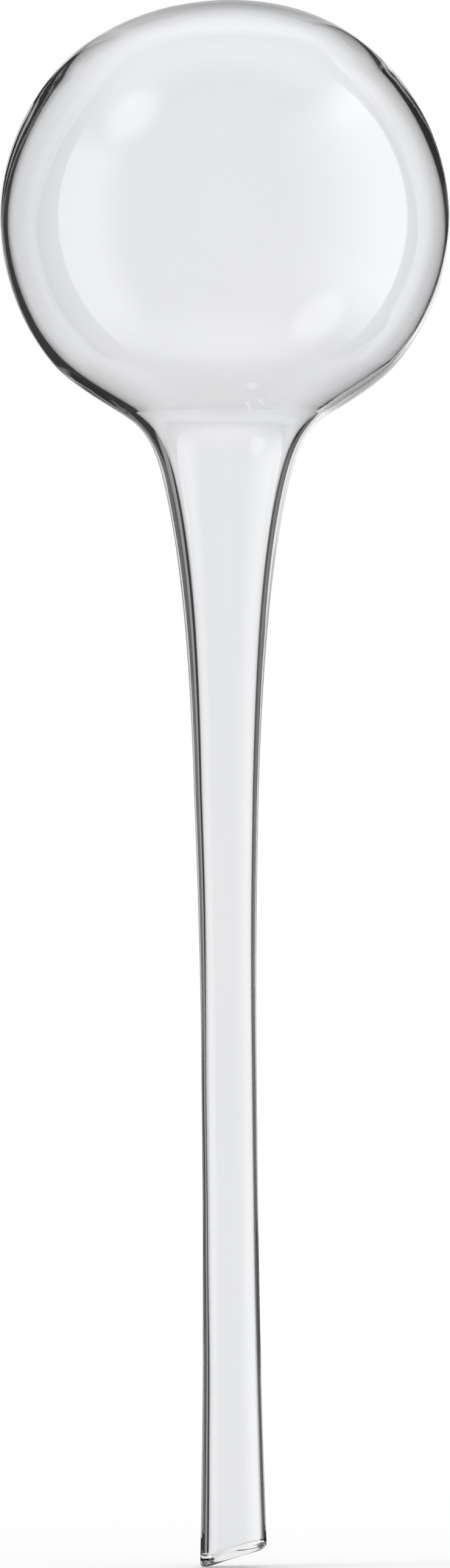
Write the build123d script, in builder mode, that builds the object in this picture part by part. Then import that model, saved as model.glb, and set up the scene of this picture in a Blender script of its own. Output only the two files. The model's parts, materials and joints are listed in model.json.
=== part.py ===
from build123d import *
from math import cos, radians, sin, tan
import os

# A plant watering globe of clear blown glass: a hollow ball on a long hollow stem, open only at the
# stem's slanted tip, which is pushed into the soil. The Z axis is the axis of the ball and the neck,
# Z is zero at the level of the stem's lowest corner, and the stem leans from the seal towards +X.
# Sizes are in millimetres and degrees. A pull is how far an outline holds its direction from one end of
# a curve, and a wall's angle is taken from the axis, opening upwards.

# Ball
globe_radius = 40.0  # at the widest ring
globe_wall = 1.1
crown_height = 39.0  # above the widest ring, a little less than a full sphere's
crown_wall = 0.7  # the ball is blown thinnest there
crown_rise = 21.0  # pull up from the widest ring
crown_run = 24.0  # pull out from the crown
shoulder_angle = 42.0  # below the widest ring, where the ball starts to draw in to its root
shoulder_pull = 11.0

# Root, the end of the ball that the neck is drawn from
root_drop = 44.7  # widest ring down to the root's end
root_radius = 11.7
root_angle = 15.6
root_wall = 1.7
root_pull = 13.0

# Neck
neck_length = 57.2  # root's end down to the seal
neck_pull = 14.0  # down from the root's end
seal_radius = 5.8
seal_angle = 1.7
seal_wall = 1.2
seal_pull = 20.0  # up from the seal

# Stem, along its own axis
stem_length = 138.0  # seal down to the lowest corner of the mouth, before that is rounded
stem_lean = 0.55
stem_wall = 0.78
waist_radius = 4.925
run_in = 46.0  # seal down to the waist
waist_length = 20.0  # straight stretch of even bore

# Mouth
mouth_radius = 6.0  # at the stem's lowest corner
mouth_wall = 1.1
mouth_length = 10.0  # lowest corner up to where the stem takes over
mouth_cut = 17.0  # slant of the opening
rim_round = 0.45  # fire-polished edges, inside and outside

# Levels
lean = radians(stem_lean)
seal_height = stem_length * cos(lean) + mouth_radius * sin(lean)
root_height = seal_height + neck_length
globe_height = root_height + root_drop

# Bores
root_bore = root_radius - root_wall / cos(radians(root_angle))
seal_bore = seal_radius - seal_wall / cos(radians(seal_angle))
bore_radius = waist_radius - stem_wall
mouth_bore = mouth_radius - mouth_wall

# Stem's own plane: its Y runs up the stem's axis from the seal
stem_plane = Plane((0, 0, seal_height), x_dir=(cos(lean), 0, sin(lean)), z_dir=(0, -1, 0))
stem_axis = Axis(stem_plane.origin, stem_plane.y_dir)
waist_bottom = -(run_in + waist_length)
flare_length = stem_length - run_in - waist_length


def ball_wall(wall=0.0, top_wall=0.0):
    """Outline of the ball's outside, or of its inside through the walls; gives the crown and shoulder."""
    radius = globe_radius - wall
    share = radius / globe_radius
    top = globe_height + crown_height - top_wall
    rises = (radius, globe_height + share * crown_rise)
    crown = Bezier((radius, globe_height), rises, (share * crown_run, top), (0, top))
    lower = CenterArc((0, globe_height), radius, 0, -shoulder_angle)
    return crown @ 1, lower @ 1


def drawn_wall(upper, upper_angle, upper_pull, lower, lower_angle, lower_pull):
    """One smooth curve down a drawn wall, with a wall angle and a pull at each end."""
    upper, lower = Vector(upper), Vector(lower)
    leaves = upper - Vector(sin(radians(upper_angle)), cos(radians(upper_angle))) * upper_pull
    arrives = lower + Vector(sin(radians(lower_angle)), cos(radians(lower_angle))) * lower_pull
    return Bezier(upper, leaves, arrives, lower)


def flare(narrow, wide, start, end):
    """Three control points of the stem's flare, a parabola, between two runs below the waist."""
    bend = (wide - narrow) / flare_length**2
    first = narrow + bend * start**2
    last = narrow + bend * end**2
    between = first + bend * start * (end - start)
    runs = (start, (start + end) / 2, end)
    return [(r, waist_bottom - run) for r, run in zip((first, between, last), runs)]


# Globe: the ball and its root in one revolved wall, cut off level at the root's end. Inside, the round
# shoulder bends more tightly and the hollow root more widely, each by half a wall.
with BuildPart() as globe:
    with BuildSketch(Plane.XZ):
        with BuildLine():
            outer_crown, outer_shoulder = ball_wall()
            inner_crown, inner_shoulder = ball_wall(globe_wall, crown_wall)
            inner_pulls = (shoulder_pull - globe_wall / 2, root_pull + root_wall / 2)
            outer_end = (root_radius, root_height)
            inner_end = (root_bore, root_height)
            drawn_wall(outer_shoulder, shoulder_angle, shoulder_pull, outer_end, root_angle, root_pull)
            drawn_wall(inner_shoulder, shoulder_angle, inner_pulls[0], inner_end, root_angle, inner_pulls[1])
            Line(outer_end, inner_end)
            Line(outer_crown, inner_crown)
        make_face()
    revolve(axis=Axis.Z)

# Neck: the long taper between the root and the seal
with BuildPart() as neck:
    with BuildSketch(Plane.XZ):
        with BuildLine():
            for root, seal in ((root_radius, seal_radius), (root_bore, seal_bore)):
                root_end = (root, root_height)
                seal_end = (seal, seal_height)
                drawn_wall(root_end, root_angle, neck_pull, seal_end, seal_angle, seal_pull)
            Line((root_radius, root_height), (root_bore, root_height))
            Line((seal_radius, seal_height), (seal_bore, seal_height))
        make_face()
    revolve(axis=Axis.Z)

# Stem: runs in from the seal to the waist and flares to the mouth. It is drawn a little past the seal
# and cut level there, because the stem leans and the neck's lower face is level.
seal_spare = 2 * seal_radius * tan(lean) + stem_wall
spare_gain = seal_spare * tan(radians(seal_angle))
run_pull = (seal_spare + run_in) / 3
stem_end = flare_length - mouth_length

with BuildPart() as stem:
    with BuildSketch(stem_plane):
        with BuildLine():
            tops = []
            ends = []
            walls = ((seal_radius, waist_radius, mouth_radius), (seal_bore, bore_radius, mouth_bore))
            for seal, waist, lip in walls:
                top = (seal + spare_gain, seal_spare)
                run = drawn_wall(top, seal_angle, run_pull, (waist, -run_in), 0, run_pull)
                widening = Bezier(*flare(waist, lip, 0, stem_end))
                Line(run @ 1, widening @ 0)
                tops.append(top)
                ends.append(widening @ 1)
            Line(*tops)
            Line(*ends)
        make_face()
    revolve(axis=stem_axis)
    split(bisect_by=Plane.XY.offset(seal_height), keep=Keep.BOTTOM)

# Mouth: the end of the flare, drawn past the cut, cut on the slant and fire-polished
slant = lean + radians(mouth_cut)
lowest_corner = stem_plane.from_local_coords(Vector(-mouth_radius, -stem_length, 0))
slant_plane = Plane(lowest_corner, x_dir=(cos(slant), 0, sin(slant)), z_dir=(-sin(slant), 0, cos(slant)))
round_share = 0.45  # the most of the wall that one rounded edge may take
polish = min(rim_round, round_share * mouth_wall)
cut_spare = mouth_wall

with BuildPart() as mouth:
    with BuildSketch(stem_plane):
        with BuildLine():
            outer_lip = Bezier(*flare(waist_radius, mouth_radius, stem_end, flare_length + cut_spare))
            inner_lip = Bezier(*flare(bore_radius, mouth_bore, stem_end, flare_length + cut_spare))
            Line(outer_lip @ 0, inner_lip @ 0)
            Line(outer_lip @ 1, inner_lip @ 1)
        make_face()
    revolve(axis=stem_axis)
    split(bisect_by=slant_plane, keep=Keep.TOP)
    fillet(mouth.faces().sort_by(Axis.Z)[0].edges(), polish)

# One file for each piece
os.makedirs("parts", exist_ok=True)
globe.part.label = "globe"
export_step(globe.part, "parts/globe.step")
neck.part.label = "neck"
export_step(neck.part, "parts/neck.step")
stem.part.label = "stem"
export_step(stem.part, "parts/stem.step")
mouth.part.label = "mouth"
export_step(mouth.part, "parts/mouth.step")
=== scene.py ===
import json
from math import asin, cos, degrees, exp, hypot, pi, radians, sin, tan

import bmesh
import bpy
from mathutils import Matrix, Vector


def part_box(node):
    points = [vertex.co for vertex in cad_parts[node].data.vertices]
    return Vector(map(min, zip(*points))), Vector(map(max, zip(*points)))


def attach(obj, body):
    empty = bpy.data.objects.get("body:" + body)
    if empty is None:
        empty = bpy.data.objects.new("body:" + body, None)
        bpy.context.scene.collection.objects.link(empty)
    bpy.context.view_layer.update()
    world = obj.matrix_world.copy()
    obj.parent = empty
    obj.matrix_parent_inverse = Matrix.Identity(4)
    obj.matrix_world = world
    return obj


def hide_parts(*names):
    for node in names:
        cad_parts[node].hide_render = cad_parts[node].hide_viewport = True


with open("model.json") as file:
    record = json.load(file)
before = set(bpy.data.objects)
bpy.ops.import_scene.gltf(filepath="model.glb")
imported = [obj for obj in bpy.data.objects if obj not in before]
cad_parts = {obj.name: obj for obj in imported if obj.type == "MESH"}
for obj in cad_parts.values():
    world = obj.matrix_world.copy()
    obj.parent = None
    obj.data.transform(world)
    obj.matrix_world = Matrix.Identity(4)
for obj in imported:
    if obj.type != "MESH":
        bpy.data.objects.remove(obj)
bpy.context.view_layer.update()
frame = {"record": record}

# Watering globe of clear blown glass, in metres: one wall from the ball's crown to the slanted mouth
mm = 0.001

# Places that the solids give
globe_low, globe_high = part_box("globe")
neck_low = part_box("neck")[0]
mouth_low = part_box("mouth")[0]
mounts = {mount["name"]: mount for mount in frame["record"]["mounts"]}
bore = mounts["stem_bore"]

# Ball
globe_radius = (globe_high.x - globe_low.x) / 2
crown_flat = 1.0 * mm  # how far the crown lies under a full sphere
crown_edge = 31 * mm  # radius out to which it does
globe_level = globe_high.z - globe_radius + crown_flat
globe_centre = Vector((0, 0, globe_level))
draw_in_angle = radians(-40)

# Neck
shoulder_level = globe_level - 34.7 * mm
seal_level = neck_low.z
taper_gain = 9.6 * mm
taper_fade = 27.6 * mm
root_gain = 3.98 * mm
root_fade = 2.92 * mm

# Stem
stem_wall = 0.78 * mm
waist_radius = bore["dims"]["r_mm"] * mm + stem_wall
stem_slope = bore["axis"][0] / -bore["axis"][2]
run_in = 46 * mm
waist_length = 20 * mm
flare_start = seal_level - run_in - waist_length

# Mouth
mouth_radius = 6.0 * mm
mouth_slant = tan(radians(17.4))
mouth_lift = 2.2 * mm
mouth_bend = 17.5  # drop of the cut towards its two sides, per metre of width squared
mouth_tilt = 0.05  # the cut's near edge lies lower
mouth_reach = 30 * mm
lip_bead = 0.3 * mm
lip_height = 2.4 * mm
lip_drop = 1.3 * mm
lip_share = 0.78  # of the wall that the lip's outside rounds over

# Wall of the hand-blown glass, in millimetres: level, thickness, and how far its inside sits towards +X
wall_stations = (
    (0, 1.06, 0.25),
    (28, 0.92, 0.2),
    (60, 0.78, 0.06),
    (86, 0.76, 0.0),
    (128, 1.12, 0.1),
    (196, 1.95, 0.1),
    (220, 1.15, 0.28),
    (240, 0.95, 0.3),
    (280, 0.7, 0.0),
)
side_lumps = (
    # side, extra wall in millimetres, and the angles between which it comes up and goes away again
    (-1, 0.7, -4, 34, 37, 56),
    (1, 0.6, -10, 36, 40, 57),
)
lump_focus = 1.5  # how closely a lump keeps to its side
ball_shift = -0.31 * mm  # of the ball off the axis
shift_depth = 8 * mm  # above the shoulder, where all of the shift is reached
crown_lean = 1.1 * mm
crown_depth = 12 * mm  # under the crown's top, where its lean starts

# Steps of the mesh, round the axis and down the outline
spin_steps = 192
ball_steps = 120
shoulder_steps = 16
neck_steps = 44
neck_crowd = 1.7  # above 1, so that they lie closer together at the shoulder
stem_steps = 40
lip_steps = 14
weld_distance = 0.0005 * mm


def smooth_step(value, start, end):
    """Share from 0 at start to 1 at end, easing in and out."""
    share = min(max((value - start) / (end - start), 0), 1)
    return share * share * (3 - 2 * share)


def eased(start, end, start_slope, end_slope, share):
    """Cubic between two values with set slopes, both per unit of share."""
    rise = share * share * (3 - 2 * share)
    leave = share * (1 - share) ** 2
    arrive = share * share * (share - 1)
    return start + (end - start) * rise + start_slope * leave + end_slope * arrive


def ball_outline(steps):
    """Radius and height down the ball's outside, from the crown to where it starts to draw in."""
    points = [(0, globe_high.z)]
    for step in range(1, steps + 1):
        angle = pi / 2 + (draw_in_angle - pi / 2) * step / steps
        radius = globe_radius * cos(angle)
        sunk = crown_flat * max(1 - (radius / crown_edge) ** 2, 0) ** 2
        points.append((radius, globe_level + globe_radius * sin(angle) - sunk * (angle > 0)))
    return points


def neck_radius(level):
    """Radius of the neck's outside at a level: a long taper and a short flare at the root."""
    drop = shoulder_level - level
    return waist_radius + taper_gain * exp(-drop / taper_fade) + root_gain * exp(-drop / root_fade)


def neck_slope(level):
    """Radius that the neck's outside gains with height at a level."""
    drop = shoulder_level - level
    taper = taper_gain / taper_fade * exp(-drop / taper_fade)
    return taper + root_gain / root_fade * exp(-drop / root_fade)


def shoulder_radius(level):
    """Radius between the ball, where it starts to draw in, and the neck's shoulder."""
    top_radius = globe_radius * cos(draw_in_angle)
    top_level = globe_level + globe_radius * sin(draw_in_angle)
    length = top_level - shoulder_level
    share = (top_level - level) / length
    top_slope = -length * tan(-draw_in_angle)
    return eased(top_radius, neck_radius(shoulder_level), top_slope,
                 -length * neck_slope(shoulder_level), share)


def stem_radius(level):
    """Radius of the stem's outside: it runs in to the waist, keeps its width and flares to the mouth."""
    waist_top = seal_level - run_in
    if level > waist_top:
        share = (seal_level - level) / run_in
        return eased(neck_radius(seal_level), waist_radius, -run_in * neck_slope(seal_level), 0, share)
    if level > flare_start:
        return waist_radius
    share = (flare_start - level) / flare_start
    return waist_radius + (mouth_radius - waist_radius) * share**2


def wall_at(level):
    """Thickness of the glass at a level and how far its inside sits towards +X."""
    for (low, low_wall, low_shift), (high, high_wall, high_shift) in zip(wall_stations, wall_stations[1:]):
        if level <= high * mm:
            share = smooth_step(level, low * mm, high * mm)
            wall = low_wall + (high_wall - low_wall) * share
            return wall * mm, (low_shift + (high_shift - low_shift) * share) * mm


def levels(start, end, steps, crowd=1.0):
    """Levels from below start down to end, closer together near start where crowd is above 1."""
    return [start + (end - start) * (step / steps) ** crowd for step in range(1, steps + 1)]


def glass_outline():
    """Radius and height down the outside of the glass, from the crown to the mouth."""
    points = ball_outline(ball_steps)
    shoulder = levels(points[-1][1], shoulder_level, shoulder_steps)
    neck = levels(shoulder_level, seal_level, neck_steps, neck_crowd)
    stem = levels(seal_level, lip_height, stem_steps) + levels(lip_height, lip_drop, lip_steps)
    points += [(shoulder_radius(level), level) for level in shoulder]
    points += [(neck_radius(level), level) for level in neck]
    points += [(stem_radius(level), level) for level in stem]
    return points


def inner_outline(outline):
    """The outline moved square through the wall to its inside."""
    points = []
    for index, (radius, level) in enumerate(outline):
        before = outline[max(index - 1, 0)]
        after = outline[min(index + 1, len(outline) - 1)]
        along = hypot(after[0] - before[0], after[1] - before[1])
        across = ((after[1] - before[1]) / along, -(after[0] - before[0]) / along)
        bead = lip_bead * (1 - smooth_step(level, lip_drop, lip_height))
        wall = wall_at(level)[0] + bead
        points.append((radius + across[0] * wall, level + across[1] * wall))
    points[0] = (0, outline[0][1] - wall_at(outline[0][1])[0])
    points[-1] = (points[-1][0], outline[-1][1])
    return points


def lip_arc(outer, inner, steps):
    """Round lip from the outer wall's end to the inner wall's, without those two, fuller outside."""
    wall = outer[0] - inner[0]
    lowest = outer[0] - lip_share * wall
    points = []
    for step in range(1, steps):
        angle = pi * step / steps
        reach = outer[0] - lowest if angle < pi / 2 else lowest - inner[0]
        points.append((lowest + reach * cos(angle), outer[1] - lip_drop * sin(angle)))
    return points


def hand_blown(point, inside):
    """Moves a point of the evenly spun glass to where the blown, leaning and slant-cut glass has it."""
    place = point.copy()
    if point.z < seal_level:
        stem_drop = seal_level - point.z
        rise = 1 - smooth_step(point.z, 0, mouth_reach)
        cut = mouth_lift + mouth_slant * point.x - mouth_bend * point.x**2 + mouth_tilt * point.y
        place.z += rise * cut
        width = stem_radius(place.z) / stem_radius(point.z)
        place.x *= width
        place.y *= width
        place.x += stem_slope * stem_drop
    else:
        place.x += ball_shift * smooth_step(point.z, globe_low.z, shoulder_level + shift_depth)
        place.x += crown_lean * max(1 - (globe_high.z - point.z) / crown_depth, 0) ** 2
    if inside:
        angle = degrees(asin(min(max((point.z - globe_level) / globe_radius, -1), 1)))
        across = hypot(point.x, point.y)
        for side, gain, low, low_end, high, high_end in side_lumps:
            facing = max(side * point.x / max(across, mm), 0) ** lump_focus
            lump = smooth_step(angle, low, low_end) * (1 - smooth_step(angle, high, high_end))
            place -= gain * mm * facing * lump / globe_radius * (point - globe_centre)
        place.x += wall_at(point.z)[1]
    return place


def add_object(bm, name):
    """Turns a finished bmesh into an object of the scene."""
    mesh = bpy.data.meshes.new(name)
    bm.to_mesh(mesh)
    bm.free()
    made = bpy.data.objects.new(name, mesh)
    bpy.context.scene.collection.objects.link(made)
    return made


def make_glass():
    """The whole glass: one outline spun round the axis, closed and polished at the lip."""
    outside = glass_outline()
    inside = inner_outline(outside)
    lip = lip_arc(outside[-1], inside[-1], lip_steps)
    bm = bmesh.new()
    inner_mark = bm.verts.layers.int.new("inside")
    verts = []
    for points, mark in ((outside + lip, 0), (inside[::-1], 1)):
        for radius, level in points:
            vert = bm.verts.new((radius, 0, level))
            vert[inner_mark] = mark
            verts.append(vert)
    edges = [bm.edges.new(pair) for pair in zip(verts, verts[1:])]
    bmesh.ops.spin(bm, geom=verts + edges, axis=(0, 0, 1), cent=(0, 0, 0), angle=2 * pi,
                   steps=spin_steps, use_merge=True)
    bmesh.ops.remove_doubles(bm, verts=bm.verts, dist=weld_distance)
    for vert in bm.verts:
        vert.co = hand_blown(vert.co, vert[inner_mark])
    bmesh.ops.recalc_face_normals(bm, faces=bm.faces)
    for face in bm.faces:
        face.smooth = True
    return add_object(bm, "blown_glass")


# Node helpers
def add_node(tree, kind, **values):
    node = tree.nodes.new(kind)
    for name, value in values.items():
        setattr(node, name, value)
    return node


def feed(tree, socket, value):
    """Links a socket to an output, or sets it to a number."""
    if isinstance(value, bpy.types.NodeSocket):
        tree.links.new(value, socket)
    else:
        socket.default_value = value


def calc(tree, operation, first, second=0.0, third=0.0):
    node = add_node(tree, "ShaderNodeMath", operation=operation)
    for socket, value in zip(node.inputs, (first, second, third)):
        feed(tree, socket, value)
    return node.outputs[0]


def ramp(tree, value, start, end):
    """0 to 1 as the value goes from start to end, eased."""
    node = add_node(tree, "ShaderNodeMapRange", interpolation_type="SMOOTHSTEP")
    feed(tree, node.inputs["Value"], value)
    node.inputs["From Min"].default_value = start
    node.inputs["From Max"].default_value = end
    return node.outputs[0]


def mix_colour(tree, share, first, second):
    node = add_node(tree, "ShaderNodeMix", data_type="RGBA")
    feed(tree, node.inputs["Factor"], share)
    for name, value in (("A", first), ("B", second)):
        socket = next(s for s in node.inputs if s.name == name and s.type == "RGBA")
        feed(tree, socket, value)
    return next(s for s in node.outputs if s.type == "RGBA")


def bare_material(name):
    """A new material without any node yet, and its tree."""
    material = bpy.data.materials.new(name)
    material.use_nodes = True
    material.node_tree.nodes.clear()
    return material, material.node_tree


def show_mix(tree, share, first, second):
    """Shows the first shader, and the second by a share."""
    both = add_node(tree, "ShaderNodeMixShader")
    tree.links.new(share, both.inputs[0])
    tree.links.new(first.outputs[0], both.inputs[1])
    tree.links.new(second.outputs[0], both.inputs[2])
    out = add_node(tree, "ShaderNodeOutputMaterial")
    tree.links.new(both.outputs[0], out.inputs["Surface"])


# Faults of the glass: the size of each, how far it is drawn out along the axis, and its noise's detail
wave_noise = (14 * mm, 1.6, 1)
line_noise = (1.6 * mm, 30, 2)
haze_noise = (9 * mm, 2, 3)
tint_noise = (40 * mm, 2, 1)
haze_span = (0.45, 0.8)  # of the noise, over which the haze comes up
tint_span = (0.3, 0.7)
wave_height = 0.06 * mm
wave_strength = 0.5
line_share = 0.03  # of the waves' height
most_haze = 0.02  # as roughness
pale_tint = (0.966, 0.968, 0.975, 1)
deep_tint = (0.957, 0.962, 0.97, 1)
glass_ior = 1.5


def stretched_noise(tree, coords, size, stretch, detail):
    """Noise of a feature size in metres, drawn out along the axis by a factor."""
    place = add_node(tree, "ShaderNodeMapping")
    tree.links.new(coords, place.inputs["Vector"])
    place.inputs["Scale"].default_value = (1, 1, 1 / stretch)
    noise = add_node(tree, "ShaderNodeTexNoise")
    tree.links.new(place.outputs[0], noise.inputs["Vector"])
    noise.inputs["Scale"].default_value = 1 / size
    noise.inputs["Detail"].default_value = detail
    return noise.outputs["Fac"]


def clear_glass():
    """Clear glass with the slow waves of blowing, fine draw lines, a trace of haze and an uneven tint."""
    material = bpy.data.materials.new("clear_glass")
    material.use_nodes = True
    tree = material.node_tree
    coords = add_node(tree, "ShaderNodeTexCoord").outputs["Object"]
    waves = stretched_noise(tree, coords, *wave_noise)
    lines = stretched_noise(tree, coords, *line_noise)
    haze = stretched_noise(tree, coords, *haze_noise)
    tint = stretched_noise(tree, coords, *tint_noise)
    shader = tree.nodes["Principled BSDF"]
    colour = mix_colour(tree, ramp(tree, tint, *tint_span), pale_tint, deep_tint)
    tree.links.new(colour, shader.inputs["Base Color"])
    rough = calc(tree, "MULTIPLY", ramp(tree, haze, *haze_span), most_haze)
    tree.links.new(rough, shader.inputs["Roughness"])
    bump = add_node(tree, "ShaderNodeBump")
    bump.inputs["Strength"].default_value = wave_strength
    bump.inputs["Distance"].default_value = wave_height
    tree.links.new(calc(tree, "MULTIPLY_ADD", lines, line_share, waves), bump.inputs["Height"])
    tree.links.new(bump.outputs["Normal"], shader.inputs["Normal"])
    shader.inputs["IOR"].default_value = glass_ior
    shader.inputs["Transmission Weight"].default_value = 1.0
    return material


glass = make_glass()
glass.data.materials.append(clear_glass())
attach(glass, "root")
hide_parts("globe", "neck", "stem", "mouth")

# Camera: level, at the middle of the object's height, framing the object from edge to edge
photo_width, photo_height = 739, 2576
view_height = globe_high.z
view_scale = view_height / photo_height
axis_pixel = 371.8  # across the photo, of the axis that the glass is spun round
view_distance = 3.0
sensor_width = 36
camera_data = bpy.data.cameras.new("camera")
camera_data.sensor_width = sensor_width
camera_data.lens = sensor_width * view_distance / view_height
camera = bpy.data.objects.new("camera", camera_data)
camera.location = ((photo_width / 2 - axis_pixel) * view_scale, -view_distance, view_height / 2)
camera.rotation_euler = (pi / 2, 0, 0)
bpy.context.scene.collection.objects.link(camera)
bpy.context.scene.camera = camera

# Limits on how often a ray was turned aside or went through a surface, set between two counts
least_once = 0.5
least_twice = 1.5
one_wall = 2.5  # in by one side and out by the other
any_walls = 99  # more than a ray goes through

# Floor: white, with the glass's shadow, and clear to rays that the glass reflected
floor_radius = 3.0
floor_sides = 96
floor_white = (0.98, 0.98, 0.98, 1)
floor_bm = bmesh.new()
bmesh.ops.create_circle(floor_bm, cap_ends=True, segments=floor_sides, radius=floor_radius)
bmesh.ops.translate(floor_bm, verts=floor_bm.verts, vec=(0, 0, mouth_low.z))
floor = add_object(floor_bm, "floor")


def floor_finish():
    material, tree = bare_material("floor_white")
    path = add_node(tree, "ShaderNodeLightPath")
    reflected = calc(tree, "GREATER_THAN", path.outputs["Glossy Depth"], least_once)
    white = add_node(tree, "ShaderNodeBsdfDiffuse")
    white.inputs["Color"].default_value = floor_white
    clear = add_node(tree, "ShaderNodeBsdfTransparent")
    show_mix(tree, reflected, white, clear)
    return material


floor.data.materials.append(floor_finish())

# Cards close to the glass, in millimetres, which only rays that the glass reflected meet
card_distance = 80
deep_distance = 85
through_low = 170  # from this level to the next, a card comes to be seen through any number of walls
through_high = 205


def make_card(name, corners, bright, fades=(), reach=None, turns=least_once, walls=one_wall):
    """A card that glows only to rays reflected often enough that came through few enough walls.

    Each fade gives two levels and the share of the card that is kept above them. Reach is the length of
    ray past which the card isn't seen.
    """
    bm = bmesh.new()
    bm.faces.new([bm.verts.new(Vector(corner) * mm) for corner in corners])
    card = add_object(bm, name)
    material, tree = bare_material(name)
    path = add_node(tree, "ShaderNodeLightPath")
    place = add_node(tree, "ShaderNodeSeparateXYZ")
    tree.links.new(add_node(tree, "ShaderNodeTexCoord").outputs["Object"], place.inputs[0])
    turned = calc(tree, "GREATER_THAN", path.outputs["Glossy Depth"], turns)
    few_walls = calc(tree, "LESS_THAN", path.outputs["Transmission Depth"], walls)
    at_ball = ramp(tree, place.outputs["Z"], through_low * mm, through_high * mm)
    seen = calc(tree, "MULTIPLY", turned, calc(tree, "MAXIMUM", few_walls, at_ball))
    if reach:
        near = calc(tree, "LESS_THAN", path.outputs["Ray Length"], reach * mm)
        seen = calc(tree, "MULTIPLY", seen, near)
    for low, high, high_share in fades:
        faded = ramp(tree, place.outputs["Z"], low * mm, high * mm)
        kept = calc(tree, "MULTIPLY_ADD", faded, high_share - 1, 1.0)
        seen = calc(tree, "MULTIPLY", kept, seen)
    clear = add_node(tree, "ShaderNodeBsdfTransparent")
    glow = add_node(tree, "ShaderNodeEmission")
    glow.inputs["Strength"].default_value = bright
    show_mix(tree, seen, clear, glow)
    card.data.materials.append(material)


def upright(corners, distance):
    """Corners given across and up, set behind the glass."""
    return [(x, distance, z) for x, z in corners]


# Across and up, from the tip round the right side, the top and the left: the edges of the
# glass go dark where what they reflect passes outside these corners
back_outline = (
    (-6, 0), (30, 0), (30, 31), (12, 36), (9, 56), (24, 62), (28, 72),
    (28, 168), (37, 172), (46, 180), (52, 187), (59, 200), (62, 210), (62, 231),
    (53, 245), (53, 257), (47, 267), (50, 276), (53, 283), (50, 288), (40, 283), (35, 286),
    (34, 300), (36, 345), (-52, 345), (-46, 290),
    (-44, 274), (-50, 273), (-56, 276), (-61, 275), (-60, 270), (-60, 263), (-58, 254),
    (-60, 232), (-54, 222), (-45, 213), (-38, 206), (-33, 194), (-28, 192), (-20, 192),
    (-14, 188), (-12, 176), (-14, 166), (-14, 96), (-6, 86),
)
back_fades = ((284, 298, 0.5), (300, 345, 0.0))
deep_outline = ((-120, 245), (120, 245), (120, 350), (-120, 350))
left_outline = ((-45, 96), (-14, 96), (-15, 160), (-45, 160))
right_outline = ((28, 104), (50, 104), (50, 138), (29, 138))
low_corners = ((-14, -14, 0.1), (14, -14, 0.1), (14, 14, 0.1), (-14, 14, 0.1))
make_card("back_card", upright(back_outline, card_distance), bright=1.0, fades=back_fades)
make_card("deep_card", upright(deep_outline, deep_distance), bright=0.1, turns=least_twice)
make_card("left_card", upright(left_outline, card_distance), bright=0.1)
make_card("right_card", upright(right_outline, card_distance), bright=0.14)
make_card("low_card", low_corners, bright=0.9, reach=60, walls=any_walls)

# Studio: white to the eye and through the glass, dim with a few softboxes in its reflections
softboxes = (
    # azimuth from, to, edge softness at each, then the same for elevation, in degrees; brightness;
    # seen inside the wall, or else on its outside
    ((-46, -32, 2.5, 2.5), (-30, 40, 8, 8), 0.32, True),
    ((38, 43, 2, 2), (-5, 40, 8, 8), 0.12, True),
    ((-118, -85, 14, 1.2), (-50, 31, 16, 8), 2.0, False),
    ((72, 118, 1.2, 36), (-37, 48, 16, 8), 3.3, False),
    ((48, 72, 8, 1.2), (-37, 48, 8, 8), 0.75, False),
)
lamp_direction = Vector((-0.67, -0.23, 0.71)).normalized()
lamp_span = (cos(radians(16)), cos(radians(5)))  # from the edge of its glow in to where that is full
lamp_bright = 1.3

# Glow of the ground and the ceiling: elevations, and shares of the direction along Y, where each comes up
ground_rise = (radians(-41), radians(-69))
ground_depth = (0.2, -0.4)
ground_bright = 0.6
ceiling_rise = (radians(25), radians(58))
ceiling_depth = (-0.35, 0.15)
ceiling_bright = 0.9
dim = 0.045  # what the glass reflects where nothing glows
ambient = 0.91  # what the world sends to the floor


def band(tree, value, low, high, low_soft, high_soft):
    """1 where the value lies between two angles, fading at each by its own softness."""
    rise = ramp(tree, value, radians(low - low_soft), radians(low + low_soft))
    fall = ramp(tree, value, radians(high - high_soft), radians(high + high_soft))
    return calc(tree, "SUBTRACT", rise, fall)


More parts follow.
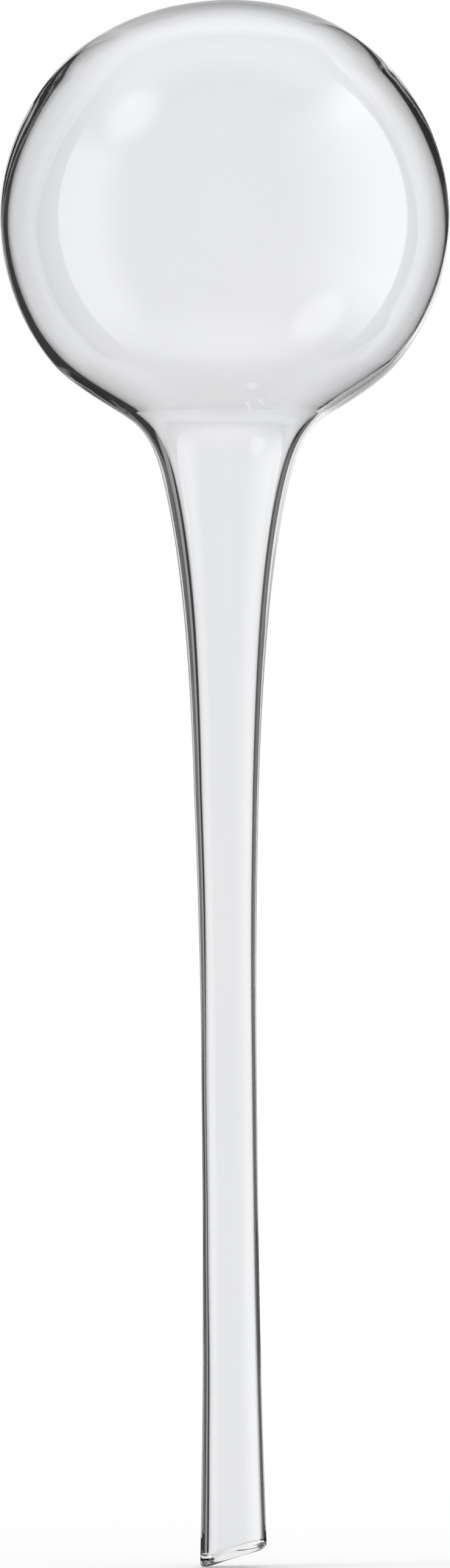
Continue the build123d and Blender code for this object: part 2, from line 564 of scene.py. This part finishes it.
def make_world():
    world = bpy.data.worlds.new("studio")
    bpy.context.scene.world = world
    world.use_nodes = True
    tree = world.node_tree
    coords = add_node(tree, "ShaderNodeTexCoord")
    parts = add_node(tree, "ShaderNodeSeparateXYZ")
    tree.links.new(coords.outputs["Generated"], parts.inputs[0])
    azimuth = calc(tree, "ARCTAN2", parts.outputs["X"], parts.outputs["Y"])
    elevation = calc(tree, "ARCSINE", parts.outputs["Z"])
    path = add_node(tree, "ShaderNodeLightPath")
    inside = calc(tree, "GREATER_THAN", path.outputs["Transmission Depth"], least_once)
    outside = calc(tree, "SUBTRACT", 1.0, inside)
    glow = 0.0
    for across, up, bright, through in softboxes:
        box = calc(tree, "MULTIPLY", band(tree, azimuth, *across), band(tree, elevation, *up))
        box = calc(tree, "MULTIPLY", box, inside if through else outside)
        glow = calc(tree, "MULTIPLY_ADD", box, bright, glow)
    facing = add_node(tree, "ShaderNodeVectorMath", operation="DOT_PRODUCT")
    tree.links.new(coords.outputs["Generated"], facing.inputs[0])
    facing.inputs[1].default_value = lamp_direction
    spot = ramp(tree, facing.outputs["Value"], *lamp_span)
    ground = calc(tree, "MULTIPLY", ramp(tree, elevation, *ground_rise),
                  ramp(tree, parts.outputs["Y"], *ground_depth))
    glow = calc(tree, "MULTIPLY_ADD", ground, ground_bright, glow)
    ceiling = calc(tree, "MULTIPLY", ramp(tree, elevation, *ceiling_rise),
                   ramp(tree, parts.outputs["Y"], *ceiling_depth))
    glow = calc(tree, "MULTIPLY_ADD", ceiling, ceiling_bright, glow)
    near_side = calc(tree, "LESS_THAN", path.outputs["Transmission Depth"], one_wall)
    once = calc(tree, "LESS_THAN", path.outputs["Glossy Depth"], least_twice)
    near_side = calc(tree, "MULTIPLY", near_side, once)
    glow = calc(tree, "MULTIPLY_ADD", glow, near_side, dim)
    glow = calc(tree, "MULTIPLY_ADD", calc(tree, "MULTIPLY", spot, once), lamp_bright, glow)
    seen = calc(tree, "MAXIMUM", path.outputs["Is Camera Ray"], path.outputs["Is Glossy Ray"])
    seen = calc(tree, "MAXIMUM", seen, path.outputs["Is Transmission Ray"])
    scattered = calc(tree, "GREATER_THAN", path.outputs["Diffuse Depth"], least_once)
    seen = calc(tree, "MULTIPLY", seen, calc(tree, "SUBTRACT", 1.0, scattered))
    reflected = calc(tree, "GREATER_THAN", path.outputs["Glossy Depth"], least_once)
    reflected = calc(tree, "MULTIPLY", reflected, seen)
    level = calc(tree, "MULTIPLY_ADD", seen, 1 - ambient, ambient)
    mixed = add_node(tree, "ShaderNodeMix", data_type="FLOAT")
    feed(tree, mixed.inputs[0], reflected)
    feed(tree, mixed.inputs[2], level)
    feed(tree, mixed.inputs[3], glow)
    background = tree.nodes["Background"]
    tree.links.new(mixed.outputs[0], background.inputs["Color"])
    background.inputs["Strength"].default_value = 1.0


make_world()

# Key lamp, which lays the glass's shadow on the floor
sun_strength = 0.5
sun_angle = radians(30)
sun_data = bpy.data.lights.new("key", "SUN")
sun_data.energy = sun_strength
sun_data.angle = sun_angle
sun = bpy.data.objects.new("key", sun_data)
sun.rotation_euler = lamp_direction.to_track_quat("Z", "Y").to_euler()
sun.visible_glossy = False
sun.visible_transmission = False
bpy.context.scene.collection.objects.link(sun)

bpy.context.scene.view_settings.view_transform = "Standard"
